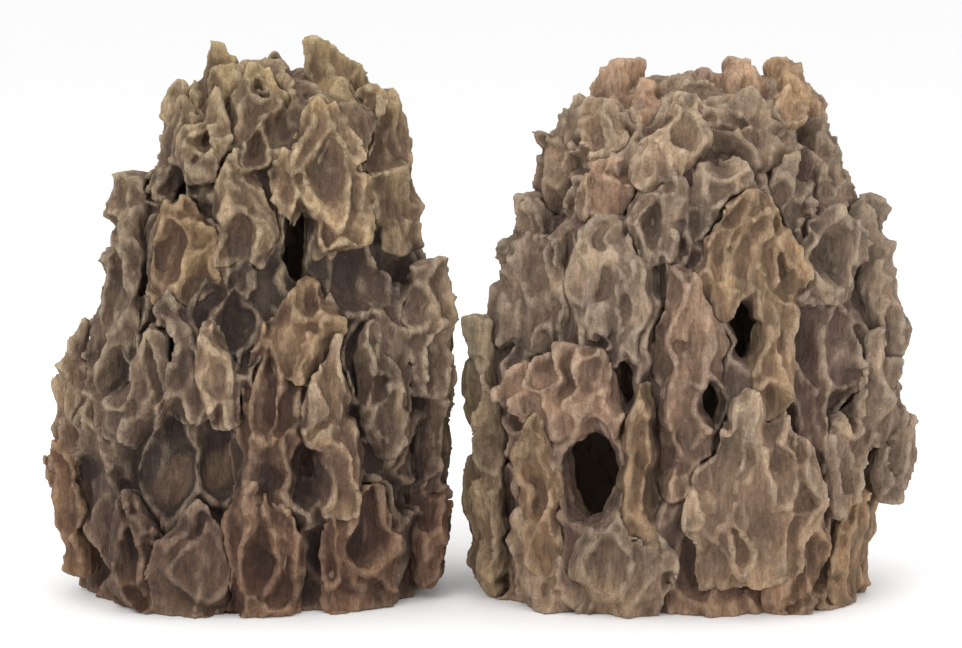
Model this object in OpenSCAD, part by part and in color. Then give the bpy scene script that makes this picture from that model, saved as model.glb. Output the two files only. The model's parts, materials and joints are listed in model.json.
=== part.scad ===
// Cave ornament for an aquarium: two hollow resin rocks that stand side by side on their open rims.
// Each rock is a front and a rear shell casting, bonded at a seam across its middle, with separately
// cast stones bonded into seats in the shells. Windows and a cave mouth lead into the hollow.
// Millimetres, +Z up, the front towards -Y, origin on the floor under the middle of the pair.

/* [Left rock] */
// Width of the left rock
left_w = 232; // [200:1:280]
// Depth of the left rock, front to rear
left_d = 168; // [145:1:205]
// Height of the left rock, floor to highest tip
left_h = 315; // [265:1:380]

/* [Right rock] */
// Width of the right rock
right_w = 256; // [215:1:310]
// Depth of the right rock, front to rear
right_d = 176; // [150:1:215]
// Height of the right rock, floor to highest tip
right_h = 305; // [255:1:370]

/* [Pair] */
// Clear space between the two rocks where they come closest
meet_gap = 1; // [0.5:0.5:10]

/* [Castings] */
// Wall behind the deepest pocket of a shell
wall = 7; // [5:0.5:10]
// Depth of the pockets between the ridges of a shell
pocket_depth = 10; // [6:0.5:14]
// Height of one row of pockets
pocket_h = 34; // [26:1:44]
// Adhesive space round a bonded stone
bond_gap = 0.4; // [0.2:0.1:1]
// Adhesive space between a front and a rear shell
seam_gap = 0.4; // [0.2:0.1:1]
// How deep a stone's seat in its shell is
seat_depth = 9; // [6:0.5:11]

/* [Cave mouth] */
// Width of the cave mouth in the right rock
mouth_w = 34; // [24:1:40]
// Height of the cave mouth in the right rock
mouth_h = 52; // [40:1:60]

/* [Windows] */
// Width of the tall window in the right rock
tall_window_w = 18; // [12:1:22]
// Height of the tall window in the right rock
tall_window_h = 40; // [30:1:48]
// Width of the upper cave in the left rock
upper_cave_w = 24; // [16:1:28]
// Height of the upper cave in the left rock
upper_cave_h = 20; // [16:1:26]
// Width of the dark slit in the left rock
slit_w = 18; // [12:1:22]
// Height of the dark slit in the left rock
slit_h = 44; // [32:1:52]
// Width of the rear outlet of each rock
outlet_w = 40; // [30:1:50]
// Height of the rear outlet of each rock
outlet_h = 46; // [34:1:56]

/* [Hidden] */
FRONT = -1;
REAR = 1;
CAST_COLOUR = [0.42, 0.34, 0.27];
INNER_COLOUR = [0.34, 0.27, 0.22];
LEFT_COLOUR = [0.56, 0.47, 0.37];
RIGHT_COLOUR = [0.60, 0.51, 0.40];

plan_power = 2.5;      // squareness of a rock's plan: 2 is an ellipse
shell_sides = 28;      // facets round a shell
shell_rings = 13;      // facets up a shell
hollow_sides = 16;     // facets round the hollow
hollow_rings = 6;      // facets up the hollow
hollow_top = 0.88;     // top of the hollow, as a share of the shell's height
pocket_count = 13;     // pockets round a shell
stone_sides = 8;       // facets round a stone
stone_rings = 3;       // facets up a stone
below = 20;            // how far a cutter runs past the floor
spire_depth = 0.75;    // depth of a free-standing spire, as a share of its width
spire_inset = 0.4;     // a stone set in this far or farther is a spire on the crest
rear_spread = 0.93;    // how far round towards the seam a rear course reaches
outlet_clear = [0.13, 0.12];  // shares across and up within which a rear stone would cover the outlet
big = 600;             // larger than the pair, for half spaces

// ---- reach of each shell's core: [height share, left, right, front, rear]
// the reaches are shares of the half width and the half depth
LEFT_CORE = [
    [0.00, 0.82, 0.84, 0.84, 0.82], [0.14, 0.91, 0.90, 0.88, 0.86], [0.34, 0.89, 0.91, 0.86, 0.85],
    [0.45, 0.83, 0.92, 0.82, 0.81], [0.55, 0.69, 0.89, 0.77, 0.78], [0.62, 0.65, 0.78, 0.72, 0.74],
    [0.73, 0.53, 0.76, 0.66, 0.68], [0.80, 0.46, 0.73, 0.59, 0.61], [0.87, 0.38, 0.66, 0.48, 0.50],
    [0.92, 0.24, 0.42, 0.28, 0.30]];
RIGHT_CORE = [
    [0.00, 0.84, 0.78, 0.83, 0.82], [0.15, 0.91, 0.81, 0.87, 0.86], [0.30, 0.91, 0.90, 0.86, 0.85],
    [0.45, 0.89, 0.90, 0.82, 0.82], [0.54, 0.77, 0.87, 0.78, 0.79], [0.62, 0.76, 0.84, 0.74, 0.75],
    [0.69, 0.74, 0.75, 0.69, 0.71], [0.76, 0.65, 0.64, 0.64, 0.66], [0.83, 0.59, 0.58, 0.57, 0.59],
    [0.90, 0.49, 0.53, 0.46, 0.48], [0.95, 0.34, 0.40, 0.28, 0.30]];

// ---- openings: [side, across, up, width, height, roll]
// across and up are shares of the half width and the height
LEFT_OPENINGS = [
    [FRONT, -0.36, 0.735, upper_cave_w, upper_cave_h, 0],
    [FRONT, 0.24, 0.640, slit_w, slit_h, 12],
    [REAR, 0.10, 0.300, outlet_w, outlet_h, 0]];
RIGHT_OPENINGS = [
    [FRONT, -0.44, 0.255, mouth_w, mouth_h, 0],
    [FRONT, 0.21, 0.520, tall_window_w, tall_window_h, -4],
    [FRONT, 0.03, 0.397, 13, 28, -4],
    [FRONT, -0.30, 0.430, 11, 34, -6],
    [REAR, -0.10, 0.215, outlet_w, outlet_h, 0]];

// ---- bonded stones of the front, one node each:
// [name, [[across, up, width, height, roll, tip, proud, inset], ...]]
// tip: 0 a blunt knob, 1 a flame. proud: how far its face stands out.
// inset: 0 on the face, 1 on the middle plane.
LEFT_STONES = [
    ["left_crown_blade", [[0.39, 0.765, 67, 87, -6, 0.7, 8, 0]]],
    ["left_square_spire", [[-0.16, 0.915, 28, 38, 3, 0.1, 3, 0.6], [-0.15, 0.978, 11, 20, 0, 0, 3, 0.6]]],
    ["left_pointed_spire", [[0.39, 0.925, 35, 56, -10, 0.9, 3, 0.6]]],
    ["left_crest_stub", [[0.03, 0.900, 16, 26, 0, 0, 3, 0.5], [0.14, 0.895, 12, 32, -12, 0.8, 5, 0.3]]],
    ["left_crest_tooth", [[-0.35, 0.884, 15, 26, 0, 0.7, 3, 0.5]]],
    ["left_shoulder_column", [[0.70, 0.765, 44, 94, 2, 0.1, 9, 0.2], [0.56, 0.855, 18, 29, 0, 0.6, 6, 0.5]]],
    ["left_window_stone", [[-0.18, 0.825, 35, 54, -4, 0.6, 6, 0]]],
    ["left_upper_slab", [[-0.38, 0.800, 40, 64, 8, 0.3, 6, 0.2]]],
    ["left_small_blade", [[-0.02, 0.705, 36, 63, 4, 0.8, 10, 0]]],
    ["left_side_shoulder", [[-0.70, 0.670, 37, 58, 3, 0.1, 13, 0.3]]],
    ["left_pocket_frame", [[-0.32, 0.630, 45, 58, 0, 0.1, 8, 0]]],
    ["left_great_slab", [[-0.64, 0.505, 49, 128, 14, 0.3, 9, 0]]],
    ["left_rim_slab", [[-0.90, 0.360, 31, 90, 4, 0.4, 12, 0]]],
    ["left_broken_stone", [[0.28, 0.505, 45, 60, 14, 0.4, 12, 0]]],
    ["left_flank_block", [[0.86, 0.480, 49, 81, 0, 0.2, 11, 0]]],
    ["left_diagonal_rib", [[-0.50, 0.395, 29, 76, 30, 0.3, 11, 0]]],
    ["left_hanging_slab", [[-0.29, 0.455, 32, 78, -10, 0.2, 10, 0]]],
    ["left_pale_wedge", [[-0.13, 0.430, 24, 60, -12, 0.5, 12, 0]]],
    ["left_centre_pillar", [[0.10, 0.350, 44, 108, 0, 0.4, 6, 0]]],
    ["left_fingers", [[0.39, 0.400, 27, 63, 0, 0, 12, 0], [0.45, 0.266, 24, 58, 4, 0, 13, 0]]],
    ["left_right_blade", [[0.64, 0.397, 26, 72, -8, 0.7, 10, 0]]],
    ["left_right_strip", [[0.90, 0.300, 26, 78, 0, 0.2, 12, 0]]],
    ["left_foot_knob", [[-0.55, 0.108, 42, 67, 0, 0.3, 10, 0]]],
    ["left_foot_slab", [[-0.25, 0.095, 59, 69, 12, 0.5, 12, 0]]],
    ["left_foot_block", [[0.08, 0.117, 56, 87, 0, 0.4, 10, 0]]],
    ["left_foot_right", [[0.56, 0.115, 59, 74, 0, 0.2, 7, 0], [0.88, 0.130, 44, 67, 0, 0.2, 10, 0]]],
    ["left_foot_side", [[-0.90, 0.170, 46, 81, 0, 0.2, 12, 0]]]];

RIGHT_STONES = [
    ["right_brow_slab", [[0.20, 0.645, 69, 67, 0, 0.1, 10, 0], [0.35, 0.480, 28, 76, 8, 0.3, 10, 0]]],
    ["right_left_peak", [[-0.32, 0.935, 33, 46, -4, 0.2, 3, 0.6], [-0.18, 0.915, 22, 32, 0, 0.2, 3, 0.4]]],
    ["right_centre_peak", [[0.22, 0.942, 27, 38, 0, 0, 3, 0.6], [0.05, 0.935, 21, 28, 0, 0.1, 3, 0.7]]],
    ["right_round_peak", [[0.46, 0.925, 35, 54, 0, 0.1, 3, 0.5], [0.41, 0.900, 20, 26, 0, 0.1, 5, 0]]],
    ["right_crown_slab", [[0.26, 0.860, 42, 50, 0, 0.1, 6, 0.1]]],
    ["right_pale_dome", [[-0.41, 0.855, 38, 40, 0, 0, 6, 0.1], [-0.56, 0.850, 28, 43, 0, 0.3, 6, 0.3]]],
    ["right_left_brow", [[-0.66, 0.775, 36, 45, 0, 0.1, 9, 0.1]]],
    ["right_pink_stone", [[-0.40, 0.760, 35, 31, 0, 0, 7, 0]]],
    ["right_slant_stones", [[-0.11, 0.825, 31, 56, 48, 0.3, 7, 0], [-0.02, 0.885, 26, 31, 10, 0.2, 5, 0]]],
    ["right_mid_stones", [[-0.15, 0.715, 40, 52, 0, 0.4, 7, 0], [0.05, 0.745, 23, 40, 0, 0.1, 6, 0],
                          [0.21, 0.755, 26, 38, 0, 0.1, 6, 0]]],
    ["right_upper_flank", [[0.61, 0.785, 41, 67, -4, 0.3, 9, 0], [0.39, 0.745, 27, 47, 0, 0.2, 6, 0]]],
    ["right_cup_stone", [[0.57, 0.640, 47, 52, 0, 0, 8, 0]]],
    ["right_flank_crest", [[0.80, 0.665, 40, 45, 0, 0.1, 12, 0.2], [0.88, 0.550, 41, 78, 0, 0.3, 12, 0]]],
    ["right_skull_slab", [[-0.03, 0.520, 45, 63, 0, 0, 12, 0], [-0.07, 0.330, 24, 74, 0, 0.2, 9, 0]]],
    ["right_rough_plate", [[0.20, 0.235, 77, 112, -6, 0.2, 12, 0]]],
    ["right_mouth_lintel", [[-0.50, 0.415, 72, 54, 0, 0.2, 10, 0]]],
    ["right_left_jamb", [[-0.66, 0.235, 27, 94, 0, 0.3, 9, 0]]],
    ["right_right_jamb", [[-0.22, 0.270, 23, 94, 0, 0.3, 8, 0]]],
    ["right_columns", [[-0.41, 0.630, 33, 72, 0, 0.3, 7, 0], [-0.24, 0.580, 28, 67, 4, 0.5, 8, 0]]],
    ["right_left_face", [[-0.64, 0.560, 36, 69, 8, 0.3, 8, 0], [-0.80, 0.610, 31, 87, 0, 0.1, 12, 0]]],
    ["right_side_stones", [[-0.92, 0.400, 41, 74, 0, 0.2, 12, 0], [-0.93, 0.170, 44, 101, 0, 0.1, 12, 0]]],
    ["right_foot_slant", [[-0.66, 0.090, 38, 65, -32, 0.3, 9, 0]]],
    ["right_foot_block", [[-0.33, 0.094, 59, 67, 0, 0.4, 10, 0]]],
    ["right_foot_rib", [[0.46, 0.105, 36, 74, 12, 0.3, 10, 0]]],
    ["right_foot_corner", [[0.68, 0.100, 41, 65, 0, 0.1, 9, 0], [0.88, 0.110, 33, 60, 0, 0.1, 6, 0]]],
    ["right_mid_flank", [[0.82, 0.400, 49, 69, 0, 0.2, 11, 0], [0.66, 0.270, 31, 60, 0, 0.2, 8, 0]]],
    ["right_ear_stone", [[0.92, 0.262, 41, 47, 0, 0.1, 16, 0]]]];

// ---- stones of the sides and rear, laid in courses: [height share, stones, width, height, proud]
REAR_COURSES = [
    [0.11, 4, 56, 72, 12], [0.33, 4, 52, 78, 12], [0.53, 3, 58, 80, 11],
    [0.72, 3, 46, 68, 10], [0.87, 2, 40, 54, 8]];

pair_w = left_w + meet_gap + right_w;
LEFT = 0;
RIGHT = 1;
width = [left_w, right_w];
depth = [left_d, right_d];
height = [left_h, right_h];
middle_x = [(left_w - pair_w) / 2, (pair_w - right_w) / 2];
core = [LEFT_CORE, RIGHT_CORE];
openings = [LEFT_OPENINGS, RIGHT_OPENINGS];
stone_nodes = [LEFT_STONES, RIGHT_STONES];
stone_colour = [LEFT_COLOUR, RIGHT_COLOUR];
rear_name = ["left_rear_stones", "right_rear_stones"];

// A repeatable scatter from 0 to 1 for a whole number
function chance(n) = let (v = sin(n * 1271.31 + 31.7) * 4375.853) v - floor(v);
// The same from -1 to 1
function swing(n) = 2 * chance(n) - 1;

// ---- the core's surface
function column(rock, k) = [for (row = core[rock]) [row[0], row[k]]];
function reach_x(rock, v, sx) = width[rock] / 2 * lookup(v, column(rock, sx < 0 ? 1 : 2));
function reach_y(rock, v, sy) = depth[rock] / 2 * lookup(v, column(rock, sy < 0 ? 3 : 4));
function core_top(rock) = core[rock][len(core[rock]) - 1][0];
function plan_radius(rx, ry, a) =
    pow(pow(abs(cos(a)) / rx, plan_power) + pow(abs(sin(a)) / ry, plan_power), -1 / plan_power);
function core_radius(rock, v, a) = plan_radius(reach_x(rock, v, cos(a)), reach_y(rock, v, sin(a)), a);

// The pocket that reaches deepest at one place, from rows of staggered, elongated scoops
function scoop_at(rock, v, a) =
    let (row_v = pocket_h / height[rock], row = floor(v / row_v), pitch = 360 / pocket_count)
    max([for (r = [row - 1 : row + 1])
        let (shift = (r % 2) / 2, k = floor(a / pitch - shift))
        for (c = [k - 1 : k + 1])
            let (id = 97 * rock + 13 * (r + 5) + ((c % pocket_count) + pocket_count) % pocket_count,
                 across = (a / pitch - shift - c - 0.5 - 0.2 * swing(id)) / (0.62 + 0.1 * swing(id + 400)),
                 up = (v / row_v - r - 0.5 - 0.2 * swing(id + 700)) / 0.85)
            (1 - across * across - up * up) * (0.75 + 0.25 * chance(id + 900))]);
function shell_radius(rock, v, a) = core_radius(rock, v, a) - pocket_depth * max(0, scoop_at(rock, v, a));
function hollow_radius(rock, v, a) = core_radius(rock, v, a) - pocket_depth - wall;

// A closed solid from rings of points, with a fan at each end
module rings_solid(rings, foot, tip) {
    n = len(rings[0]);
    last = len(rings) - 1;
    points = concat([for (ring = rings) each ring], [foot, tip]);
    side = [for (i = [0 : last - 1], j = [0 : n - 1])
        let (k = (j + 1) % n) each [[i * n + j, (i + 1) * n + k, i * n + k],
                                    [i * n + j, (i + 1) * n + j, (i + 1) * n + k]]];
    foot_fan = [for (j = [0 : n - 1]) [j, (j + 1) % n, n * (last + 1)]];
    tip_fan = [for (j = [0 : n - 1]) [last * n + (j + 1) % n, last * n + j, n * (last + 1) + 1]];
    polyhedron(points = points, faces = concat(side, foot_fan, tip_fan));
}

// The outside of a rock's shells, with ridges and pockets, and its crown closed
module core_solid(rock) {
    top = core_top(rock);
    rings = [for (i = [0 : shell_rings])
        let (v = top * i / shell_rings)
        [for (j = [0 : shell_sides - 1])
            let (a = 360 * j / shell_sides, r = shell_radius(rock, v, a))
            [middle_x[rock] + r * cos(a), r * sin(a), v * height[rock]]]];
    rings_solid(rings, [middle_x[rock], 0, 0], [middle_x[rock], 0, (top + 0.02) * height[rock]]);
}

// The hollow, which runs out through the open rim
module hollow_solid(rock) {
    top = hollow_top * core_top(rock);
    rings = [for (i = [-1 : hollow_rings])
        let (v = max(0, top * i / hollow_rings), z = i < 0 ? -below : v * height[rock])
        [for (j = [0 : hollow_sides - 1])
            let (a = 360 * j / hollow_sides, r = hollow_radius(rock, v, a))
            [middle_x[rock] + r * cos(a), r * sin(a), z]]];
    rings_solid(rings, [middle_x[rock], 0, -below], [middle_x[rock], 0, (top + 0.01) * height[rock]]);
}

// ---- stones
// Width of a stone at height share t: nearly parallel sides, a drawn-in foot, and a knob or a flame above
function swell(t, tip) =
    t < 0.25 ? 0.74 + 0.26 * sin(360 * t) : 1 - (0.34 + 0.58 * tip) * pow(max(0, t - 0.5) * 2, 2 - tip);

// Depth of a stone's side at angle a: its front is dished between two crests
function dish(t, a) = sin(a) < 0 ? 1.1 - 0.5 * pow(-sin(a), 6) * sin(180 * t) : 1;

// A cast stone, centred on its own middle, with its face towards -Y. grow fattens it for its seat.
module stone(w, d, h, tip, seed, grow = 0) {
    rings = [for (i = [0 : stone_rings])
        let (t = i / stone_rings, f = swell(t, tip))
        [for (j = [0 : stone_sides - 1])
            let (a = 270 + 360 * j / stone_sides,
                 r = plan_radius(w / 2, d / 2, a) * f * (1 + 0.1 * swing(seed * 37 + j)),
                 lift = 0.04 * h * swing(seed * 53 + 7 * i + j))
            [(r + grow) * cos(a) + w * 0.12 * swing(seed + 5) * sin(180 * t),
             (r * dish(t, a) + grow) * sin(a),
             (h / 2 + grow) * (2 * t - 1) * 0.93 + lift]]];
    rings_solid(rings, [0, 0, -h / 2 - grow], [w * 0.08 * swing(seed + 3), 0, h / 2 + grow]);
}

// Stands its children on a rock's face: across and up are shares of the half width and the height
module on_face(rock, side, across, up, roll, proud, inset) {
    x = across * width[rock] / 2;
    rx = reach_x(rock, up, x);
    ry = reach_y(rock, up, side);
    u = min(0.97, abs(x) / rx);
    edge = pow(1 - pow(u, plan_power), 1 / plan_power);
    facing = atan2(sign(x) * pow(u, plan_power - 1) / rx, pow(edge, plan_power - 1) / ry);
    turn = side < 0 ? facing : 180 - facing;
    rise = 0.06;
    lean_back = reach_y(rock, up - rise, side) - reach_y(rock, up + rise, side);
    slope = atan(lean_back / (2 * rise * height[rock]));
    x_on = sign(x) * min(abs(x), u * rx);
    translate([middle_x[rock] + x_on, side * ry * edge * (1 - inset), up * height[rock]])
        rotate([0, 0, turn]) translate([0, -proud, 0])
            rotate([-slope, 0, 0]) rotate([0, roll, 0]) children();
}

// A stone on the face is as deep as it stands out plus its seat. A spire on the crest has its own depth.
module front_stone(rock, s, seed, grow = 0) {
    spire = s[7] >= spire_inset;
    d = spire ? s[2] * spire_depth : s[6] + seat_depth;
    on_face(rock, FRONT, s[0], s[1], s[4], spire ? s[6] : s[6] - d / 2, s[7])
        stone(s[2], d, s[3], s[5], seed, grow);
}

// Stones of one rear course, spread from side to side behind the seam
function rear_spots(rock) = [for (c = [0 : len(REAR_COURSES) - 1], k = [0 : REAR_COURSES[c][1] - 1])
    let (row = REAR_COURSES[c], n = row[1], id = 60 * rock + 11 * c + k,
         spread = lookup(row[0], column(rock, 1)) * rear_spread)
    [spread * (2 * k + 1 - n) / n + 0.05 * swing(id), row[0] + 0.025 * swing(id + 30),
     row[2] * (1 + 0.14 * swing(id + 50)), row[3] * (1 + 0.12 * swing(id + 70)), 10 * swing(id + 90),
     0.4 + 0.3 * swing(id + 110), row[4]]];

module rear_stone(rock, s, seed, grow = 0)
    on_face(rock, REAR, s[0], s[1], s[4], (s[6] - seat_depth) / 2, 0)
        stone(s[2], s[6] + seat_depth, s[3], s[5], seed, grow);

// Whether a rear stone would sit right over the rear outlet, and so is left out
function over_outlet(rock, s) = len([for (o = openings[rock])
    if (o[0] == REAR && abs(s[0] - o[1]) < outlet_clear[0] && abs(s[1] - o[2]) < outlet_clear[1]) o]) > 0;

// All stones of a rock as [is rear, stone, seed, node number], in the order in which they are seated
function all_stones(rock) = concat(
    [for (n = [0 : len(stone_nodes[rock]) - 1], k = [0 : len(stone_nodes[rock][n][1]) - 1])
        [false, stone_nodes[rock][n][1][k], 100 * rock + 3 * n + k, n]],
    [for (k = [0 : len(rear_spots(rock)) - 1])
        if (!over_outlet(rock, rear_spots(rock)[k]))
            [true, rear_spots(rock)[k], 700 + 50 * rock + k, -1]]);

STONES = [for (rock = [LEFT, RIGHT]) all_stones(rock)];

module any_stone(rock, entry, grow = 0) {
    if (entry[0]) rear_stone(rock, entry[1], entry[2], grow);
    else front_stone(rock, entry[1], entry[2], grow);
}

// The straight way through an opening, from the hollow out past the stones
module opening_cutter(rock, o)
    translate([middle_x[rock] + o[1] * width[rock] / 2, 0, o[2] * height[rock]])
        rotate([90, 0, 0]) rotate([0, 0, -o[5]])
            linear_extrude(height = depth[rock], center = false)
                polygon([for (a = [0 : 30 : 330]) [o[3] / 2 * cos(a), o[4] / 2 * sin(a)]]);

// All openings of a rock, the rear ones turned to the rear
module openings_cut(rock)
    for (o = openings[rock]) mirror([0, o[0] == FRONT ? 0 : 1, 0]) opening_cutter(rock, o);

// The box that a whole rock stays in
module envelope(rock)
    translate([middle_x[rock] - width[rock] / 2, -depth[rock] / 2, 0])
        cube([width[rock], depth[rock], height[rock]]);

// One stone as it is bonded: clear of the stones seated before it, of the openings and of the hollow
module seated_stone(rock, order) {
    difference() {
        intersection() {
            any_stone(rock, STONES[rock][order]);
            envelope(rock);
        }
        for (k = [0 : 1 : order - 1]) any_stone(rock, STONES[rock][k], bond_gap);
        openings_cut(rock);
        hollow_solid(rock);
    }
}

// A node's stones. resize() to nothing keeps the size and hands the group over as one mesh.
module stone_group(rock, n)
    color(n < 0 ? CAST_COLOUR : stone_colour[rock])
        for (order = [0 : len(STONES[rock]) - 1])
            if (STONES[rock][order][3] == n) resize([0, 0, 0]) seated_stone(rock, order);

// A front or rear shell casting with its seats, its openings and its half of the hollow
module shell(rock, side)
    color(side == FRONT ? CAST_COLOUR : INNER_COLOUR)
        resize([0, 0, 0]) difference() {
            intersection() {
                core_solid(rock);
                envelope(rock);
                translate([-big / 2, side == FRONT ? -big - seam_gap / 2 : seam_gap / 2, 0]) cube(big);
            }
            hollow_solid(rock);
            openings_cut(rock);
            for (entry = STONES[rock]) any_stone(rock, entry, bond_gap);
        }

shell(LEFT, FRONT);  // left_front_shell
shell(LEFT, REAR);  // left_rear_shell
shell(RIGHT, FRONT);  // right_front_shell
shell(RIGHT, REAR);  // right_rear_shell
for (rock = [LEFT, RIGHT]) {
    for (n = [0 : len(stone_nodes[rock]) - 1])
        stone_group(rock, n);
    stone_group(rock, -1);
}
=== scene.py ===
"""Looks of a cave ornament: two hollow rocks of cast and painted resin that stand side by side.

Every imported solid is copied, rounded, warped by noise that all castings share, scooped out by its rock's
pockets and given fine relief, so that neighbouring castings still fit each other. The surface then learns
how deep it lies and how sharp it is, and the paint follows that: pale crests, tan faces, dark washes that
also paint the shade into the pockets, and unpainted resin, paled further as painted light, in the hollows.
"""

import json
import logging
import math
import random
from dataclasses import dataclass, field
from enum import Enum
from typing import Dict, List, Optional, Sequence, Tuple

import bpy
import numpy as np
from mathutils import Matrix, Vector


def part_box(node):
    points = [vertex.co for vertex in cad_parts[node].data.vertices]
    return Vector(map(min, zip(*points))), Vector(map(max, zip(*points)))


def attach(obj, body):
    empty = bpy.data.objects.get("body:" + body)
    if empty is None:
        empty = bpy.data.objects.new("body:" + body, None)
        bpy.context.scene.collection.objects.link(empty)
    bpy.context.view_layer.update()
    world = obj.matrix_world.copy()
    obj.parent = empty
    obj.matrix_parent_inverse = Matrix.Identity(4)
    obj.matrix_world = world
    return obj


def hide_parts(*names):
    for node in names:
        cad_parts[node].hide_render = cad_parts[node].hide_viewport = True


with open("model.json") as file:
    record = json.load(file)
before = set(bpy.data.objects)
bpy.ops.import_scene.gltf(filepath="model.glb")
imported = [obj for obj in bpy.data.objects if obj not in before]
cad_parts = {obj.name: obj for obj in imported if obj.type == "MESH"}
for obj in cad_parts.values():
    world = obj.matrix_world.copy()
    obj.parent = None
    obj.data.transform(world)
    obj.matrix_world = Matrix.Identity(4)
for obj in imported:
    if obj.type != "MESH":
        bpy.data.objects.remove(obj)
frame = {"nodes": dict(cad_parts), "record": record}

LOG = logging.getLogger("cave_ornament")
MM = 0.001  # metres in a millimetre
TINY = 1e-9  # keeps a division by a length away from zero

Colour = Tuple[float, float, float]
Place = Tuple[float, float, float]


class Tint(Enum):
    """Shade of one casting against its rock's own paint."""

    PLAIN = (1.0, 1.0, 1.0)
    PALE = (1.17, 1.14, 1.09)
    OLIVE = (1.03, 1.04, 0.92)
    OCHRE = (1.14, 1.03, 0.86)
    PINK = (1.10, 0.98, 0.94)
    RUST = (1.02, 0.89, 0.81)
    UMBER = (0.84, 0.79, 0.75)
    GREY = (0.89, 0.90, 0.90)


TINT_CHANCE = (0.86, 1.12)  # how much darker or paler one casting may be by chance


@dataclass(frozen=True)
class Detail:
    """How finely castings are made: the voxels of the first and the second remesh, in metres."""

    rough_voxel: float
    fine_voxel: float

    @staticmethod
    def chosen() -> "Detail":
        return Detail(1.8 * MM, 1.4 * MM)


DETAIL = Detail.chosen()
TRIANGLE_LIMIT = 190000  # past this a casting is thinned


# ---------------------------------------------------------------- shared making


def deselect_all() -> None:
    """Leaves nothing selected, in object mode."""
    if bpy.context.mode != "OBJECT":
        bpy.ops.object.mode_set(mode="OBJECT")
    bpy.ops.object.select_all(action="DESELECT")


def pick(obj: bpy.types.Object) -> None:
    """Makes one object the only selected and the active one."""
    deselect_all()
    obj.select_set(True)
    bpy.context.view_layer.objects.active = obj


def finish_with(obj: bpy.types.Object, kind: str, **settings: object) -> None:
    """Adds a modifier, sets it and applies it.

    Args:
        obj: the piece to change.
        kind: the modifier's type.
        settings: its properties by name.
    """
    modifier = obj.modifiers.new(kind.title(), kind)
    for name, value in settings.items():
        setattr(modifier, name, value)
    pick(obj)
    bpy.ops.object.modifier_apply(modifier=modifier.name)


def coordinates(mesh: bpy.types.Mesh) -> np.ndarray:
    """Returns a mesh's vertex places as an N by 3 array, in metres."""
    places = np.empty(len(mesh.vertices) * 3, dtype=np.float32)
    mesh.vertices.foreach_get("co", places)
    return places.reshape(-1, 3)


def move_to(mesh: bpy.types.Mesh, places: np.ndarray) -> None:
    """Puts a mesh's vertices at an N by 3 array of places in metres."""
    mesh.vertices.foreach_set("co", places.astype(np.float32).ravel())
    mesh.update()


def normals_of(mesh: bpy.types.Mesh) -> np.ndarray:
    """Returns a mesh's vertex normals as an N by 3 array."""
    normals = np.empty(len(mesh.vertices) * 3, dtype=np.float32)
    mesh.vertices.foreach_get("normal", normals)
    return normals.reshape(-1, 3)


def edge_ends(mesh: bpy.types.Mesh) -> Tuple[np.ndarray, np.ndarray]:
    """Returns the vertex numbers of every edge's first end and second end."""
    edges = np.empty(len(mesh.edges) * 2, dtype=np.int64)
    mesh.edges.foreach_get("vertices", edges)
    return edges[0::2], edges[1::2]


def smooth_step(value: np.ndarray, low: float, high: float) -> np.ndarray:
    """Returns 0 below low, 1 above high and a smooth rise between them."""
    share = np.clip((value - low) / (high - low), 0.0, 1.0)
    return share * share * (3.0 - 2.0 * share)


def islands(mesh: bpy.types.Mesh) -> np.ndarray:
    """Returns for each vertex the number of the loose part that it belongs to."""
    one, two = edge_ends(mesh)
    label = np.arange(len(mesh.vertices))
    while True:
        lowest = np.minimum(label[one], label[two])
        merged = label.copy()
        np.minimum.at(merged, one, lowest)
        np.minimum.at(merged, two, lowest)
        merged = merged[merged]
        if np.array_equal(merged, label):
            return label
        label = merged


def relax(mesh: bpy.types.Mesh, values: np.ndarray, rounds: int) -> np.ndarray:
    """Averages vertex values with those of their neighbours.

    Args:
        mesh: the mesh.
        values: one number, or one row of numbers, for each vertex.
        rounds: how many times.

    Returns:
        The calmer values.
    """
    one, two = edge_ends(mesh)
    count = len(mesh.vertices)
    degree = np.bincount(one, minlength=count) + np.bincount(two, minlength=count)
    flat = values.reshape(count, -1).astype(np.float64)
    for _ in range(rounds):
        columns = []
        for column in flat.T:
            total = np.bincount(one, column[two], count) + np.bincount(two, column[one], count)
            columns.append((column + total / np.maximum(degree, 1)) / 2.0)
        flat = np.stack(columns, axis=1)
    return flat.reshape(values.shape)


def spread(values: np.ndarray, reach: int, how: Optional[np.ufunc]) -> np.ndarray:
    """Filters a chart of bearing by level, which wraps round in bearing.

    Args:
        values: the chart.
        reach: how many bins the filter reaches each way.
        how: a ufunc such as numpy.maximum, or None for the mean.

    Returns:
        The filtered chart.
    """
    for axis in (0, 1):
        layers = []
        for shift in range(-reach, reach + 1):
            moved = np.roll(values, shift, axis=axis)
            if axis == 1 and shift > 0:
                moved[:, :shift] = values[:, :1]
            elif axis == 1 and shift < 0:
                moved[:, shift:] = values[:, -1:]
            layers.append(moved)
        values = np.mean(layers, axis=0) if how is None else how.reduce(layers)
    return values


# ---------------------------------------------------------------- noise in space


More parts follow.
